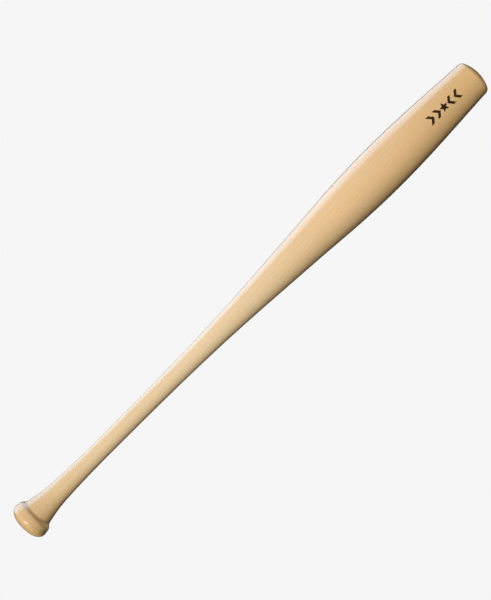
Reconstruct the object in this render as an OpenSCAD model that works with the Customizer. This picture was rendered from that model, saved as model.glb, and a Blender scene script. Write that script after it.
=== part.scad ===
// Turned maple baseball bat with a torpedo barrel.
// The bat stands along +Z. Its origin is the centre of the knob's flat end face, and the barrel is up.
// The front, facing -Y, has one bold mark near the barrel end. The emblem is on the back, facing +Y.

/* [Bat] */
// Length from the knob's end face to the top of the domed barrel end
bat_length = 838.2; // [812.8:12.7:863.6]

/* [Knob] */
// Diameter of the knob at its widest
knob_d = 53.2; // [50:0.1:58]
// Diameter of the flat disc in the middle of the knob's end face
knob_flat_d = 10; // [6:1:16]
// Height of the rounded back of the knob, from the end face to the widest point
knob_back_h = 12.8; // [10:0.1:15]
// Fullness of the rounded back, where 2 is an ellipse and more is squarer
knob_fullness = 2.26; // [2:0.02:2.6]
// Length of the rim that leans in towards the handle
knob_rim = 6.4; // [4:0.1:8]
// Radius of the round edge between the rim and the valley
knob_edge_r = 7.5; // [6:0.1:9]
// Radius of the hollow valley where the knob meets the handle's flare
valley_r = 6.2; // [4:0.1:8]

/* [Handle] */
// Diameter of the handle at its thinnest
handle_d = 24.6; // [22.2:0.1:26.5]
// Height of the thinnest point of the handle
handle_height = 152; // [145:1:170]

/* [Barrel] */
// Diameter of the barrel at its widest
barrel_d = 66.3; // [60:0.1:66.3]
// Distance from the barrel end down to the widest point
barrel_peak_drop = 171; // [160:1:180]
// Diameter where the barrel's side meets the round edge of its end
end_d = 51.8; // [48:0.1:56]
// Radius of the round edge of the barrel end
end_edge_r = 6.5; // [4:0.5:8]
// Radius of the dome on the barrel end
end_dome_r = 51; // [45:1:90]

/* [Printed marks] */
// Thickness of the printed film
film_t = 0.15; // [0.1:0.01:0.3]
// Height of the emblem's centre above the knob's end face
emblem_height = 515; // [490:1:530]
// Outer diameter of the emblem's ring, measured round the barrel
ring_d = 50; // [44:1:52]
// Length of the emblem from wing tip to wing tip
emblem_length = 104; // [96:1:116]
// Height of the middle of the band that runs across the barrel
band_height = 583; // [576:1:600]
// Height of the middle of the three rows near the barrel end
rows_height = 755; // [745:1:765]
// Height of the middle of the bold mark on the front
front_mark_height = 771; // [760:1:785]

/* [Hidden] */

$fn = 96;
maple = [0.87, 0.76, 0.60];
black_film = [0.06, 0.06, 0.06];
brown_film = [0.20, 0.15, 0.08];
to_degrees = 180 / PI;

// ---- Turned outline: every outline point is [radius, height] ----

// Points on an arc from angle a0 to a1, where 0 points outwards and 90 points up.
function arc(centre, r, a0, a1, steps) =
    [for (i = [0 : steps]) centre + r * aim(a0 + (a1 - a0) * i / steps)];
function aim(a) = [cos(a), sin(a)];

// Radius at height z on the smooth curve between two stations. A station is [height, radius, slope].
function smooth_radius(p, q, z) =
    let (h = q[0] - p[0], t = (z - p[0]) / h)
    (2 * t^3 - 3 * t^2 + 1) * p[1] + (t^3 - 2 * t^2 + t) * h * p[2]
    + (3 * t^2 - 2 * t^3) * q[1] + (t^3 - t^2) * h * q[2];

knob_r = knob_d / 2;
knob_flat_r = knob_flat_d / 2;
rim_lean = 8;
edge_end_angle = 54;
flare_angle = 13;
rim_top = [knob_r, knob_back_h] + knob_rim * aim(90 + rim_lean);
edge_centre = rim_top - knob_edge_r * aim(rim_lean);
valley_centre = edge_centre + (knob_edge_r + valley_r) * aim(edge_end_angle);
valley_top = valley_centre - valley_r * aim(flare_angle);

// The knob's rounded back: a superellipse from the flat disc out to the widest point.
knob_back = [for (i = [0 : 16]) let (a = 90 * i / 16)
    [knob_flat_r + (knob_r - knob_flat_r) * sin(a)^(2 / knob_fullness),
     knob_back_h * (1 - cos(a)^(2 / knob_fullness))]];

handle_r = handle_d / 2;
barrel_r = barrel_d / 2;
end_r = end_d / 2;
peak = bat_length - barrel_peak_drop;

end_slope = -0.06;
end_lean = atan(-end_slope);
end_edge_centre_r = end_r - end_edge_r * cos(end_lean);
dome_centre = [0, bat_length - end_dome_r];
end_edge_centre = [end_edge_centre_r,
    dome_centre[1] + sqrt((end_dome_r - end_edge_r)^2 - end_edge_centre_r^2)];
side_top = end_edge_centre[1] + end_edge_r * sin(end_lean);
dome_angle = atan((end_edge_centre[1] - dome_centre[1]) / end_edge_centre_r);

// The flare above the knob runs out at this height, where the handle is this much thicker in radius.
flare_top = 64;
flare_extra = 2.25;
flare_slope = -0.06;

// Points that shape the taper from the thinnest to the widest point:
// [share of the height between them, share of the growth in radius, slope].
taper_shape = [[0.36, 0.11, 0.034], [0.58, 0.405, 0.07], [0.79, 0.775, 0.084]];
taper = peak - handle_height;
growth = barrel_r - handle_r;

// The shoulder is where the barrel starts to run straight towards the round edge of its end.
shoulder_drop = 55;
shoulder_extra = 3.3;

stations = concat(
    [[valley_top[1], valley_top[0], -tan(flare_angle)],
     [flare_top, handle_r + flare_extra, flare_slope],
     [handle_height, handle_r, 0]],
    [for (p = taper_shape) [handle_height + p[0] * taper, handle_r + p[1] * growth, p[2]]],
    [[peak, barrel_r, 0],
     [side_top - shoulder_drop, end_r + shoulder_extra, end_slope],
     [side_top, end_r, end_slope]]
);

// Heights of the turned side, a little under 8 mm apart.
side_steps = 104;
side_heights = [for (i = [0 : side_steps])
    valley_top[1] + (side_top - valley_top[1]) * i / side_steps];

// Number of the stretch between stations that holds height z.
function stretch(z, i = 0) = i >= len(stations) - 2 || z < stations[i + 1][0] ? i : stretch(z, i + 1);
function side_radius(z) = let (i = stretch(z)) smooth_radius(stations[i], stations[i + 1], z);

body_outline = concat(
    [[0, 0]],
    knob_back,
    arc(edge_centre, knob_edge_r, rim_lean, edge_end_angle, 6),
    arc(valley_centre, valley_r, 180 + edge_end_angle, 180 + flare_angle, 5),
    [for (i = [1 : side_steps]) [side_radius(side_heights[i]), side_heights[i]]],
    arc(end_edge_centre, end_edge_r, end_lean, dome_angle, 8),
    arc(dome_centre, end_dome_r, dome_angle, 90, 6)
);

// The whole bat is one billet of maple, turned on a lathe.
module bat_body() {
    color(maple) rotate_extrude() polygon(body_outline);
}

// ---- Printed film: flat artwork in [along the bat, round the bat], rolled onto the barrel ----

// A skin of the film's thickness over the turned side, from height low to height high.
module skin(low, high) {
    zs = [for (z = side_heights) if (z > low && z < high) z];
    rotate_extrude() polygon(concat(
        [for (z = zs) [side_radius(z), z]],
        [for (i = [len(zs) - 1 : -1 : 0]) [side_radius(zs[i]) + film_t, zs[i]]]
    ));
}

// Cuts the skin to the rolled artwork that is passed as children, on the front or the back.
// The skin runs past the artwork at both ends, as far as reach from its middle.
core = 5;
module print_film(height, reach, on_back) {
    intersection() {
        skin(height - reach, height + reach);
        rotate([0, 0, on_back ? 180 : 0]) translate([0, -core, height])
            rotate([90, -90, 0]) linear_extrude(barrel_r) children();
    }
}

// One shape of the artwork as it looks square to the barrel, once it is rolled on at that height.
module art(points, height) {
    polygon([for (p = points) let (r = side_radius(height + p[0])) [p[0], r * sin(p[1] / r * to_degrees)]]);
}

function moved(points, by) = [for (p = points) p + by];
function disc(r, n = 72) = [for (i = [0 : n - 1]) r * aim(i * 360 / n)];
// A bar whose upper edge is pushed along the bat by lean.
function bar(length, height, lean = 0) =
    [[-length - lean, -height] / 2, [length - lean, -height] / 2,
     [length + lean, height] / 2, [-length + lean, height] / 2];
function diamond(length, height) = [[-length, 0], [0, -height], [length, 0], [0, height]] / 2;
function star(r, tips = 5) =
    [for (i = [0 : 2 * tips - 1]) (i % 2 == 0 ? r : 0.45 * r) * aim(90 + i * 180 / tips)];
// An arrowhead that points along the bat, or back down it if length is negative.
function chevron(length, height, stroke) =
    let (tip = length / 2, tail = -length / 2, s = length > 0 ? stroke : -stroke)
    [[tail, height / 2], [tip - s, 0], [tail, -height / 2],
     [tail + s, -height / 2], [tip, 0], [tail + s, height / 2]];

// The emblem is a ball in a ring between two wings.
ring_r = ring_d / 2;
ring_w = 3.8;
spare = 9;
module emblem_ring() {
    color(black_film) print_film(emblem_height, ring_r + spare, true) difference() {
        art(disc(ring_r), emblem_height);
        art(disc(ring_r - ring_w), emblem_height);
    }
}

// The ball is a solid disc. Its two seams are bare wood, with stitches across them.
ball_r = 18.4;
seam_r = 15;
seam_offset = 21;
seam_w = 1.6;
stitch_length = 6.4;
stitch_w = 1.4;
stitch_angles = [-60 : 15 : 60];
function seam_band(side) = let (turn = [-80 : 5 : 80])
    concat([for (a = turn) seam_point(side, seam_r + seam_w / 2, a)],
           [for (a = turn) seam_point(side, seam_r - seam_w / 2, -a)]);
function seam_point(side, r, a) = [side * (seam_offset - r * cos(a)), r * sin(a)];
function stitch(side, a) =
    [for (p = bar(stitch_length, stitch_w)) seam_point(side, seam_r + p[0], a) + p[1] * [side * sin(a), cos(a)]];
module emblem_ball() {
    color(black_film) print_film(emblem_height, ball_r + spare, true) difference() {
        art(disc(ball_r), emblem_height);
        for (side = [-1, 1]) {
            art(seam_band(side), emblem_height);
            for (a = stitch_angles) art(stitch(side, a), emblem_height);
        }
    }
}

// Each wing is five bars that follow the ring at a constant gap and get shorter away from the middle.
wing_gap = 3.2;
wing_pitch = 8.6;
wing_bar = 5.2;
wing_step = 7;
module emblem_wings() {
    color(black_film) print_film(emblem_height, emblem_length / 2 + spare, true)
        for (side = [-1, 1]) for (row = [-2 : 2]) {
            y = row * wing_pitch;
            near = sqrt((ring_r + wing_gap)^2 - y^2);
            far = emblem_length / 2 - abs(row) * wing_step;
            art([for (p = bar(far - near, wing_bar)) [side * ((near + far) / 2 + p[0]), y + p[1]]],
                emblem_height);
        }
}

// A slanting row of small chevrons runs across the barrel, with a zigzag line beside it.
band_marks = 8;
band_pitch = 6.2;
band_slant = 0.16;
zigzag_drop = 9.5;
zigzag_teeth = 10;
zigzag_pitch = 4.8;
zigzag_deep = 3.2;
zigzag_w = 0.9;
band_reach = 30;
function zigzag(edge) = [for (i = [0 : zigzag_teeth]) let (y = (i - zigzag_teeth / 2) * zigzag_pitch)
    [zigzag_drop + band_slant * y + (i % 2 == 0 ? -1 : 1) * zigzag_deep / 2 + edge, y]];
function backwards(points) = [for (i = [len(points) - 1 : -1 : 0]) points[i]];
module cross_band() {
    color(brown_film) print_film(band_height, band_reach, true) {
        for (i = [0 : band_marks - 1]) {
            y = (i - (band_marks - 1) / 2) * band_pitch;
            art(moved(chevron(8, 4.6, 3), [band_slant * y, y]), band_height);
        }
        art(concat(zigzag(-zigzag_w), backwards(zigzag(zigzag_w))), band_height);
    }
}

// Three rows of plain shapes near the barrel end: leaning bars, three diamonds, then bars and stars.
row_spacing = 14;
middle_reach = 30;
outer_reach = 56;
upper_bars = 18;
upper_pitch = 4.4;
module end_row_upper() {
    color(black_film) print_film(rows_height, outer_reach, true)
        for (i = [0 : upper_bars - 1])
            art(moved(bar(2.2, 5.2, 1.6), [(i - (upper_bars - 1) / 2) * upper_pitch, row_spacing]),
                rows_height);
}
module end_row_middle() {
    color(black_film) print_film(rows_height, middle_reach, true)
        for (i = [-1 : 1]) art(moved(diamond(8, 5.2), [i * 10, 0]), rows_height);
}
lower_marks = 9;
lower_pitch = 9.8;
module end_row_lower() {
    color(black_film) print_film(rows_height, outer_reach, true)
        for (i = [0 : lower_marks - 1]) {
            place = [(i - (lower_marks - 1) / 2) * lower_pitch, -row_spacing];
            art(moved(i % 2 == 0 ? bar(6.6, 7, 1.4) : star(4), place), rows_height);
        }
}

// The bold mark on the front: a star between two pairs of chevrons that point at it.
front_pitch = 11.6;
front_reach = 38;
module front_mark() {
    color(brown_film) print_film(front_mark_height, front_reach, false) {
        art(star(7), front_mark_height);
        for (side = [-1, 1]) for (i = [1, 2])
            art(moved(chevron(-side * 10, 13, 4.6), [side * i * front_pitch, 0]), front_mark_height);
    }
}

bat_body();
emblem_ring();
emblem_ball();
emblem_wings();
cross_band();
end_row_upper();
end_row_middle();
end_row_lower();
front_mark();
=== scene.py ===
import math

import bpy
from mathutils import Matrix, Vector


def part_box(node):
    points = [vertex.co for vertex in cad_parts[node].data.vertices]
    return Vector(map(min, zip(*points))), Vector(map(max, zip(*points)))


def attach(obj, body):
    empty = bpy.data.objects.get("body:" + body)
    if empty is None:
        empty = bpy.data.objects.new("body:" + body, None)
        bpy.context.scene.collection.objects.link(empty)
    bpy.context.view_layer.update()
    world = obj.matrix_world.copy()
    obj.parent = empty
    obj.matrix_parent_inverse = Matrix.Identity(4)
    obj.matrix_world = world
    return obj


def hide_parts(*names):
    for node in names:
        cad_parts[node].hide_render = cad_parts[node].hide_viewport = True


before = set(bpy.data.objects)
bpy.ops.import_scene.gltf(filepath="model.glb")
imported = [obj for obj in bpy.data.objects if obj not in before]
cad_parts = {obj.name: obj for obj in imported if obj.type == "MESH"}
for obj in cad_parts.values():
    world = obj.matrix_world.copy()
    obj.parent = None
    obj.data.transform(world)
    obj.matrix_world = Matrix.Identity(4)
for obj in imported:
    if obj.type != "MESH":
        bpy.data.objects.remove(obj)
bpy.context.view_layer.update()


# ---- Turned bat ----
# One billet of hard maple, turned on a lathe, so the knob, handle and barrel are one piece.
# It is sanded smooth, left in its natural colour and sprayed with clear satin-gloss lacquer.

BAT_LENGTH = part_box("bat_body")[1][2]
TURNS = 160
CUTS_BETWEEN_RINGS = 2
SEAM_GAP = 2e-6


def turned_rings(node):
    """(radius, height) of each ring that the lathe left on a CAD node, from the knob up."""
    rings = {}
    for vertex in node.data.vertices:
        height = round(vertex.co.z, 5)
        rings[height] = max(rings.get(height, 0.0), math.hypot(vertex.co.x, vertex.co.y))
    return [(rings[height], height) for height in sorted(rings)]


def only(thing):
    """Selects one object alone and makes it the active one."""
    bpy.ops.object.select_all(action="DESELECT")
    thing.select_set(True)
    bpy.context.view_layer.objects.active = thing


def draw_outline(points):
    """Draws a smooth curve through the points and turns it into a chain of edges."""
    bpy.ops.curve.primitive_bezier_curve_add()
    curve = bpy.context.object
    spline = curve.data.splines[0]
    spline.bezier_points.add(len(points) - 2)
    for knot, (radius, height) in zip(spline.bezier_points, points):
        knot.co = (radius, 0, height)
        knot.handle_left_type = knot.handle_right_type = "AUTO"
    # The disc under the knob is flat out to its edge, and the dome is level on the axis.
    disc_edge, tip = spline.bezier_points[1], spline.bezier_points[-1]
    for knot in (disc_edge, tip):
        knot.handle_left_type = knot.handle_right_type = "FREE"
    disc_edge.handle_left = (points[1][0] * 2 / 3, 0, points[1][1])
    disc_edge.handle_right = ((points[1][0] * 2 + points[2][0]) / 3, 0, points[1][1])
    tip.handle_left = (points[-2][0] / 3, 0, points[-1][1])
    spline.resolution_u = CUTS_BETWEEN_RINGS
    only(curve)
    bpy.ops.object.convert(target="MESH")
    return bpy.context.object


def turn_on_lathe(name):
    """Spins the chain of edges round the bat's axis and closes it."""
    bpy.ops.object.mode_set(mode="EDIT")
    bpy.ops.mesh.select_all(action="SELECT")
    bpy.ops.mesh.spin(steps=TURNS, angle=math.tau, center=(0, 0, 0), axis=(0, 0, 1))
    bpy.ops.mesh.select_all(action="SELECT")
    bpy.ops.mesh.remove_doubles(threshold=SEAM_GAP)
    bpy.ops.mesh.normals_make_consistent(inside=False)
    bpy.ops.object.mode_set(mode="OBJECT")
    bpy.ops.object.shade_smooth()
    turned = bpy.context.object
    turned.name = name
    return turned


draw_outline([(0.0, 0.0)] + turned_rings(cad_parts["bat_body"]))
bat = turn_on_lathe("turned_bat")


def add(tree, kind, values=None, **settings):
    """Adds a node with its settings, and fills each named input with a value or a link."""
    node = tree.nodes.new("ShaderNode" + kind)
    for name, setting in settings.items():
        setattr(node, name, setting)
    for socket, value in (values or {}).items():
        if isinstance(value, bpy.types.NodeSocket):
            tree.links.new(value, node.inputs[socket])
        else:
            node.inputs[socket].default_value = value
    return node


def maths(tree, operation, first, second=0.0):
    return add(tree, "Math", {0: first, 1: second}, operation=operation).outputs[0]


def vector_maths(tree, operation, first, second):
    return add(tree, "VectorMath", {0: first, 1: second}, operation=operation).outputs[0]


def spread(tree, value, low, high, new_low=0.0, new_high=1.0):
    """Stretches low..high to new_low..new_high and stops at both ends."""
    values = {"Value": value, "From Min": low, "From Max": high, "To Min": new_low, "To Max": new_high}
    return add(tree, "MapRange", values).outputs["Result"]


def noise(tree, place, cells, detail):
    """Noise whose cells per metre are given along X, Y and Z."""
    scaled = vector_maths(tree, "MULTIPLY", place, cells)
    return add(tree, "TexNoise", {"Vector": scaled, "Scale": 1.0, "Detail": detail})


def tint(tree, blend, amount, base, colour):
    mix = add(tree, "Mix", {0: amount, 6: base, 7: colour}, data_type="RGBA", blend_type=blend)
    return mix.outputs[2]


def new_group(name, inputs, outputs):
    """A node group with named inputs and outputs, each given as {name: socket kind}."""
    group = bpy.data.node_groups.new(name, "ShaderNodeTree")
    for in_out, sockets in (("INPUT", inputs), ("OUTPUT", outputs)):
        for socket, kind in sockets.items():
            group.interface.new_socket(name=socket, in_out=in_out, socket_type="NodeSocket" + kind)
    return group, group.nodes.new("NodeGroupInput"), group.nodes.new("NodeGroupOutput")


def put_in(tree, group, values):
    """Places a node group in a material's tree with its own values."""
    return add(tree, "Group", values, node_tree=group).outputs


# The tree's middle ran beside the bat on its -X side, and leaned a little along it, so the year
# rings cross the +Y and -Y faces as straight lines and make long arches on the +X and -X faces.
FROM_TREE_MIDDLE = (0.14, -0.03, 0.0)
TREE_LEAN = (math.radians(0.4), math.radians(0.9), 0.0)
RING_WIDTH = 0.0023
RING_WANDER = 0.010
LATE_WOOD_SHARPNESS = 4.0
WEAKEST_RING = 0.15

# How many cells of each pattern fit in a metre across the bat, in X and in Y, and along it, in Z.
WANDER_CELLS = (9, 9, 2.4)
FIBRE_CELLS = (900, 900, 13)
PORE_CELLS = (4200, 4200, 300)
RAY_CELLS = (620, 5200, 1300)
CLOUD_CELLS = (15, 15, 4.5)

# The part of each pattern's noise that is stretched to the whole range from 0 to 1.
EVEN_SHARE = (0.3, 0.7)
PORE_SHARE = (0.62, 0.74)
RAY_SHARE = (0.63, 0.76)
PORE_DARKNESS = 0.7

grain, given, result = new_group(
    "maple_grain",
    {"Place": "Vector", "Ring Width": "Float"},
    {"Rings": "Float", "Fibre": "Float", "Flecks": "Float", "Cloud": "Float"})
place = given.outputs["Place"]
wander = vector_maths(
    grain, "SUBTRACT", noise(grain, place, WANDER_CELLS, 2).outputs["Color"], (0.5, 0.5, 0.5))
wander = vector_maths(grain, "MULTIPLY", wander, (RING_WANDER,) * 3)
wandered = vector_maths(grain, "ADD", place, wander)
in_tree = add(
    grain, "Mapping", {"Vector": wandered, "Location": FROM_TREE_MIDDLE, "Rotation": TREE_LEAN})
across = vector_maths(grain, "MULTIPLY", in_tree.outputs[0], (1, 1, 0))
reach = add(grain, "VectorMath", {0: across}, operation="LENGTH").outputs["Value"]
years = maths(grain, "DIVIDE", reach, given.outputs["Ring Width"])
year = maths(grain, "FLOOR", years)
hard_year = add(grain, "TexWhiteNoise", {"W": year}, noise_dimensions="1D").outputs["Value"]
season = maths(grain, "FRACT", years)
late_wood = maths(grain, "POWER", season, LATE_WOOD_SHARPNESS)
rings = maths(grain, "MULTIPLY", late_wood, spread(grain, hard_year, 0, 1, WEAKEST_RING, 1.0))
fibre = spread(grain, noise(grain, place, FIBRE_CELLS, 3).outputs["Fac"], *EVEN_SHARE)
pores = spread(grain, noise(grain, place, PORE_CELLS, 1).outputs["Fac"], *PORE_SHARE)
rays = spread(grain, noise(grain, place, RAY_CELLS, 1).outputs["Fac"], *RAY_SHARE)
flecks = maths(grain, "MAXIMUM", maths(grain, "MULTIPLY", pores, PORE_DARKNESS), rays)
cloud = spread(grain, noise(grain, place, CLOUD_CELLS, 4).outputs["Fac"], *EVEN_SHARE)
for socket, value in {"Rings": rings, "Fibre": fibre, "Flecks": flecks, "Cloud": cloud}.items():
    grain.links.new(value, result.inputs[socket])


def new_material(name, **constants):
    """A Principled material with its plain values set, its tree and its place on the piece."""
    material = bpy.data.materials.new(name)
    material.use_nodes = True
    tree = material.node_tree
    shader = tree.nodes["Principled BSDF"]
    for socket, value in constants.items():
        shader.inputs[socket.replace("_", " ")].default_value = value
    spot = tree.nodes.new("ShaderNodeTexCoord").outputs["Object"]
    return material, tree, shader, spot


# (share of the bat's length from the knob up, colour of the bare wood there)
WOOD_COLOURS = (
    (0.00, (0.780, 0.550, 0.290, 1)),
    (0.15, (0.830, 0.650, 0.420, 1)),
    (0.38, (0.850, 0.673, 0.448, 1)),
    (0.54, (0.835, 0.645, 0.415, 1)),
    (0.66, (0.825, 0.600, 0.352, 1)),
    (0.83, (0.785, 0.550, 0.305, 1)),
    (0.97, (0.735, 0.505, 0.250, 1)))

# What the wood's colour is multiplied by where each pattern is strongest.
CLOUD_TINT = (0.955, 0.930, 0.890, 1)
FIBRE_TINT = (0.975, 0.955, 0.925, 1)
RING_TINT = (0.860, 0.770, 0.640, 1)
FLECK_TINT = (0.860, 0.755, 0.630, 1)
END_GRAIN_TINT = (0.880, 0.810, 0.700, 1)

SMOOTHEST_WOOD = 0.38
ROUGHEST_WOOD = 0.48
FIBRE_RELIEF = 0.4
RELIEF_HEIGHT = 0.00002
RELIEF_STRENGTH = 0.2
END_GRAIN_STARTS = 0.45

maple, tree, shader, spot = new_material(
    "lacquered_maple", Diffuse_Roughness=0.15, Coat_Weight=1.0, Coat_Roughness=0.17, Coat_IOR=1.5,
    IOR=1.45)
wood = put_in(tree, grain, {"Place": spot, "Ring Width": RING_WIDTH})

# The wood is pale cream at the handle and turns to tan towards the barrel end.
height = add(tree, "SeparateXYZ", {0: spot}).outputs["Z"]
colours = add(tree, "ValToRGB", {"Fac": maths(tree, "DIVIDE", height, BAT_LENGTH)})
steps = colours.color_ramp.elements
for share, colour in WOOD_COLOURS:
    step = steps.new(share)
    step.color = colour
steps.remove(steps[-1])
steps.remove(steps[0])
colour = colours.outputs["Color"]
colour = tint(tree, "MULTIPLY", wood["Cloud"], colour, CLOUD_TINT)
colour = tint(tree, "MULTIPLY", wood["Fibre"], colour, FIBRE_TINT)
colour = tint(tree, "MULTIPLY", wood["Rings"], colour, RING_TINT)
colour = tint(tree, "MULTIPLY", wood["Flecks"], colour, FLECK_TINT)

# End grain drinks the lacquer, so the knob's end and the barrel's tip are darker.
facing = tree.nodes["Texture Coordinate"].outputs["Normal"]
facing_end = maths(tree, "ABSOLUTE", add(tree, "SeparateXYZ", {0: facing}).outputs["Z"])
end_grain = spread(tree, facing_end, END_GRAIN_STARTS, 1.0)
colour = tint(tree, "MULTIPLY", end_grain, colour, END_GRAIN_TINT)
tree.links.new(colour, shader.inputs["Base Color"])
tree.links.new(
    spread(tree, wood["Fibre"], 0, 1, SMOOTHEST_WOOD, ROUGHEST_WOOD), shader.inputs["Roughness"])
relief = maths(
    tree, "SUBTRACT", maths(tree, "MULTIPLY", wood["Fibre"], FIBRE_RELIEF), wood["Flecks"])
bump = add(
    tree, "Bump", {"Height": relief, "Strength": RELIEF_STRENGTH, "Distance": RELIEF_HEIGHT})
tree.links.new(bump.outputs["Normal"], shader.inputs["Normal"])

bat.data.materials.append(maple)
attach(bat, "root")
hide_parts("bat_body")


# ---- Emblem ring ----
# A ring of glossy black foil that a heated die pressed onto the back of the barrel. The foil is
# thinner than a hair, and its edges stand up a trace under the lacquer.

FOIL_STANDS_PROUD = 0.00006
FOIL_GOES_IN = 0.00003
DEGREES_BETWEEN_CUTS = 4
HEIGHT_BETWEEN_CUTS = 0.003
CORNER_GAP = 1e-6
LOOKS_OUTWARD = 0.5
SHARP_CORNER = math.radians(40)


def outward(face):
    """How squarely a face of a film looks away from the bat's axis, from -1 to 1."""
    reach = math.hypot(face.center.x, face.center.y)
    return (face.normal.x * face.center.x + face.normal.y * face.center.y) / reach


def cut(spot, direction):
    bpy.ops.mesh.select_all(action="SELECT")
    bpy.ops.mesh.bisect(plane_co=spot, plane_no=direction)


def press_on(node, name):
    """A film with a CAD node's artwork, cut fine and pressed onto the turned bat's own surface."""
    film = bpy.data.objects.new(name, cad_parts[node].data.copy())
    bpy.context.scene.collection.objects.link(film)
    film.data.materials.clear()
    only(film)
    bpy.ops.object.mode_set(mode="EDIT")
    bpy.ops.mesh.select_all(action="SELECT")
    bpy.ops.mesh.remove_doubles(threshold=CORNER_GAP)
    bpy.ops.mesh.select_mode(type="FACE")
    bpy.ops.mesh.select_all(action="DESELECT")
    bpy.ops.object.mode_set(mode="OBJECT")
    for face in film.data.polygons:
        face.select = outward(face) < LOOKS_OUTWARD
    bpy.ops.object.mode_set(mode="EDIT")
    bpy.ops.mesh.delete(type="FACE")
    for turn in range(0, 180, DEGREES_BETWEEN_CUTS):
        cut((0, 0, 0), (math.cos(math.radians(turn)), math.sin(math.radians(turn)), 0))
    low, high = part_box(node)
    for step in range(1, int((high[2] - low[2]) / HEIGHT_BETWEEN_CUTS) + 1):
        cut((0, 0, low[2] + step * HEIGHT_BETWEEN_CUTS), (0, 0, 1))
    bpy.ops.object.mode_set(mode="OBJECT")
    wrap = film.modifiers.new("press", "SHRINKWRAP")
    wrap.target = bat
    wrap.wrap_method = "NEAREST_SURFACEPOINT"
    wrap.wrap_mode = "ABOVE_SURFACE"
    wrap.offset = FOIL_STANDS_PROUD
    thick = film.modifiers.new("thickness", "SOLIDIFY")
    thick.thickness = FOIL_STANDS_PROUD + FOIL_GOES_IN
    thick.offset = -1
    for modifier in list(film.modifiers):
        bpy.ops.object.modifier_apply(modifier=modifier.name)
    bpy.ops.object.shade_smooth_by_angle(angle=SHARP_CORNER)
    sheen = film.modifiers.new("level_sheen", "DATA_TRANSFER")
    sheen.object = bat
    sheen.use_loop_data = True
    sheen.data_types_loops = {"CUSTOM_NORMAL"}
    sheen.loop_mapping = "POLYINTERP_NEAREST"
    bpy.ops.object.modifier_apply(modifier=sheen.name)
    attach(film, "root")
    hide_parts(node)
    return film


# Open pores and low fibres that the film did not reach leave small gaps, long along the grain.
# They are thickest in patches. A larger share opens more of them.
SPECK_CELLS = (2400, 2400, 420)
PATCH_CELLS = (260, 260, 60)
PATCH_WEIGHT = 0.35
NO_GAP_ABOVE = 0.96
SHARE_WEIGHT = 0.5
GAP_EDGE = 0.05

gaps, given, result = new_group(
    "gaps_in_film", {"Place": "Vector", "Share": "Float"}, {"Gaps": "Float"})
specks = noise(gaps, given.outputs["Place"], SPECK_CELLS, 2).outputs["Fac"]
patches = noise(gaps, given.outputs["Place"], PATCH_CELLS, 1).outputs["Fac"]
bare = maths(gaps, "ADD", specks, maths(gaps, "MULTIPLY", patches, PATCH_WEIGHT))
open_from = maths(
    gaps, "SUBTRACT", NO_GAP_ABOVE, maths(gaps, "MULTIPLY", given.outputs["Share"], SHARE_WEIGHT))
gaps.links.new(
    spread(gaps, maths(gaps, "SUBTRACT", bare, open_from), 0, GAP_EDGE), result.inputs["Gaps"])

WOOD_IN_GAPS = (0.62, 0.42, 0.22, 1)
FIBRE_IN_GAPS = (0.80, 0.72, 0.60, 1)
FIBRE_RELIEF_IN_FILM = 0.5


def print_on_wood(name, film_colour, share, smoothest, roughest, **constants):
    """A printed film with the maple's fibres showing in its gloss, and bare wood in its gaps."""
    material, tree, shader, spot = new_material(name, **constants)
    wood = put_in(tree, grain, {"Place": spot, "Ring Width": RING_WIDTH})
    bare = put_in(tree, gaps, {"Place": spot, "Share": share})["Gaps"]
    wood_colour = tint(tree, "MULTIPLY", wood["Fibre"], WOOD_IN_GAPS, FIBRE_IN_GAPS)
    tree.links.new(tint(tree, "MIX", bare, film_colour, wood_colour), shader.inputs["Base Color"])
    tree.links.new(
        spread(tree, wood["Fibre"], 0, 1, smoothest, roughest), shader.inputs["Roughness"])
    fibres = maths(tree, "MULTIPLY", wood["Fibre"], FIBRE_RELIEF_IN_FILM)
    relief = maths(tree, "SUBTRACT", fibres, bare)
    bump = add(
        tree, "Bump", {"Height": relief, "Strength": RELIEF_STRENGTH, "Distance": RELIEF_HEIGHT})
    tree.links.new(bump.outputs["Normal"], shader.inputs["Normal"])
    return material


FOIL_BLACK = (0.0085, 0.0085, 0.0100, 1)
black_foil = print_on_wood(
    "black_foil", FOIL_BLACK, share=0.02, smoothest=0.26, roughest=0.36,
    Coat_Weight=1.0, Coat_Roughness=0.13, Coat_IOR=1.5, IOR=1.45)

emblem_ring = press_on("emblem_ring", "emblem_ring_foil")
emblem_ring.data.materials.append(black_foil)


# ---- Emblem ball ----
# The ball is a solid disc of the same black foil, pressed by the same die. Its two stitched seams
# are lines that the die left bare, so the wood shows in them.

emblem_ball = press_on("emblem_ball", "emblem_ball_foil")
emblem_ball.data.materials.append(black_foil)


# ---- Emblem wings ----
# Five foil bars on each side of the ring, shorter away from the middle, make the two wings. They
# are part of the same pressing as the ring and the ball.

emblem_wings = press_on("emblem_wings", "emblem_wings_foil")
emblem_wings.data.materials.append(black_foil)


# ---- Cross band ----
# A slanting row of arrowheads and a zigzag line, printed across the barrel in dark brown ink. Ink
# is duller than foil and covers less evenly, so more of the wood shows through it.

INK_BROWN = (0.030, 0.019, 0.011, 1)
brown_ink = print_on_wood(
    "brown_ink", INK_BROWN, share=0.16, smoothest=0.42, roughest=0.56,
    Coat_Weight=0.9, Coat_Roughness=0.17, Coat_IOR=1.5, IOR=1.45)

cross_band = press_on("cross_band", "cross_band_ink")
cross_band.data.materials.append(brown_ink)


# ---- End rows ----
# Three rows of small black foil shapes near the barrel end: leaning bars, three diamonds, then
# bars and stars. The rows run along the barrel side by side, and are pressed like the emblem.

for row in ("upper", "middle", "lower"):
    end_row = press_on("end_row_" + row, "end_row_" + row + "_foil")
    end_row.data.materials.append(black_foil)


# ---- Front mark ----
# The bold mark on the front of the barrel is a star between two pairs of arrowheads, printed in
# the same brown ink as the cross band.

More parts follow.
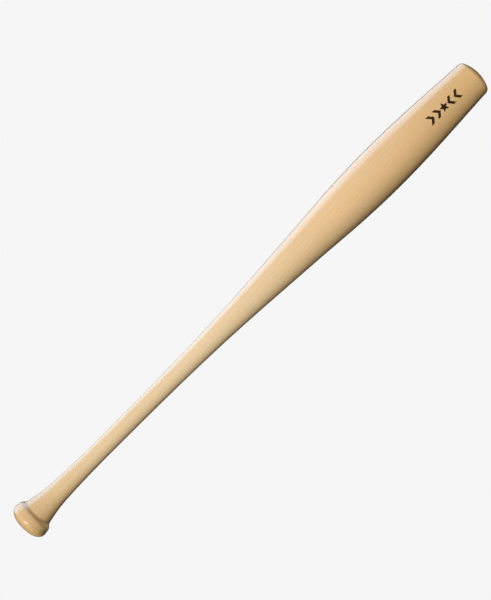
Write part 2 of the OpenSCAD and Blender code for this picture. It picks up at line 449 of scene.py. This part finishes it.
front_mark = press_on("front_mark", "front_mark_ink")
front_mark.data.materials.append(brown_ink)


# ---- Floor and backdrop ----
# The bat stands on its knob on a plain pale floor, in front of a backdrop of the same tone. Both
# are lit so evenly that no edge or shadow shows between them.

BACKDROP_TONE = (0.9216, 0.9216, 0.9216, 1)
FLOOR_SIZE = 8
FLOOR_GAP = 0.0005

bpy.ops.mesh.primitive_plane_add(size=FLOOR_SIZE, location=(0, 0, -FLOOR_GAP))
floor = bpy.context.object
floor.name = "floor"
floor.visible_diffuse = floor.visible_glossy = floor.visible_shadow = False
pale = bpy.data.materials.new("pale_floor")
pale.use_nodes = True
pale.node_tree.nodes.clear()
glow = add(pale.node_tree, "Emission", {"Color": BACKDROP_TONE})
clear = add(pale.node_tree, "BsdfTransparent")
# Seen from below, the floor is clear, so that it does not hide the end of the knob.
below = add(pale.node_tree, "NewGeometry").outputs["Backfacing"]
one_way = add(pale.node_tree, "MixShader", {0: below, 1: glow.outputs[0], 2: clear.outputs[0]})
surface = add(pale.node_tree, "OutputMaterial")
pale.node_tree.links.new(one_way.outputs[0], surface.inputs["Surface"])
floor.data.materials.append(pale)

ROOM_LIGHT = 0.01
world = bpy.data.worlds.new("studio")
bpy.context.scene.world = world
world.use_nodes = True
sky = world.node_tree
sky.nodes.clear()
seen = add(sky, "Background", {"Color": BACKDROP_TONE})
room = add(sky, "Background", {"Color": (1, 1, 1, 1), "Strength": ROOM_LIGHT})
ray = add(sky, "LightPath")
either = add(
    sky, "MixShader", {0: ray.outputs["Is Camera Ray"], 1: room.outputs[0], 2: seen.outputs[0]})
sky.links.new(either.outputs[0], add(sky, "OutputWorld").inputs["Surface"])


# ---- Lights ----
# One tall softbox stands to the left of the bat, a little behind it, and draws the pale band
# down its side. Soft lamps from above and below fill the front and the back, and do not show in
# the lacquer.


def aim(lamp, turn, rise, distance):
    """Sets a lamp at turn degrees from the front towards -X, rise degrees up, looking at the bat."""
    round_bat, up = math.radians(turn), math.radians(rise)
    lamp.rotation_euler = (math.pi / 2 - up, 0, -round_bat)
    lamp.location = (-math.sin(round_bat) * math.cos(up) * distance,
                     -math.cos(round_bat) * math.cos(up) * distance,
                     BAT_LENGTH / 2 + math.sin(up) * distance)


def stand_softbox(name, turn, rise, distance, width, length, glow, tone):
    """A rectangular softbox that the camera does not see, as bright as glow all over."""
    bpy.ops.object.light_add(type="AREA")
    softbox = bpy.context.object
    softbox.name = name
    softbox.visible_camera = False
    softbox.data.shape = "RECTANGLE"
    softbox.data.size = width
    softbox.data.size_y = length
    softbox.data.color = tone
    softbox.data.energy = glow * math.pi * width * length
    aim(softbox, turn, rise, distance)
    return softbox


stand_softbox("tall_softbox", turn=116, rise=0, distance=1.3, width=1.5, length=2.6, glow=2.45,
              tone=(0.68, 0.79, 1.0))

# A small low lamp draws the bright spot on the round edge of the knob.
spark = stand_softbox("knob_spark", turn=8, rise=-38, distance=1.5, width=0.5, length=0.45, glow=8,
                      tone=(1.0, 0.97, 0.92))
spark.visible_diffuse = False

WARM = (1.0, 0.95, 0.76)
COOL = (0.15, 0.30, 1.0)
WHITE = (1.0, 0.98, 0.96)
FILL_RISE = 42
FILL_DISTANCE = 3
# (name, turn, spread, tone, strength from below, strength from above)
FILLS = (
    ("middle_fill", 12, 12, WARM, 3.13, 1.30),
    ("left_fill", 30, 20, COOL, 0.68, 0.28),
    ("back_fill", -158, 26, WHITE, 2.0, 1.5))
for name, turn, spread_angle, tone, from_below, from_above in FILLS:
    for side, rise, strength in (("low", -FILL_RISE, from_below), ("high", FILL_RISE, from_above)):
        bpy.ops.object.light_add(type="SUN")
        fill = bpy.context.object
        fill.name = name + "_" + side
        fill.data.energy = strength
        fill.data.color = tone
        fill.data.angle = math.radians(spread_angle)
        fill.visible_glossy = False
        aim(fill, turn, rise, FILL_DISTANCE)

# Light that only grazes the bat is dimmed, so its far side ends in a crisp dark line.
GRAZING_LIGHT_DIMMED = 0.05
bat.shadow_terminator_shading_offset = GRAZING_LIGHT_DIMMED


# ---- Camera ----
# The camera looks level at the front of the bat and is rolled, so that the bat lies corner to
# corner in the picture with its knob low on the left.

CAMERA_DISTANCE = 2.1
CAMERA_X = -0.0049
CAMERA_HEIGHT = 0.4144
VIEW_HEIGHT = 0.7834
SENSOR = 36
SEES_AS_FAR_AS = 20
ROLL = math.radians(-45.03)

camera_data = bpy.data.cameras.new("camera")
camera = bpy.data.objects.new("camera", camera_data)
bpy.context.scene.collection.objects.link(camera)
camera.location = (CAMERA_X, -CAMERA_DISTANCE, CAMERA_HEIGHT)
camera.rotation_euler = (math.radians(90), ROLL, 0)
camera_data.sensor_width = SENSOR
camera_data.lens = SENSOR * CAMERA_DISTANCE / VIEW_HEIGHT
camera_data.clip_end = SEES_AS_FAR_AS
bpy.context.scene.camera = camera
bpy.context.scene.view_settings.view_transform = "Standard"
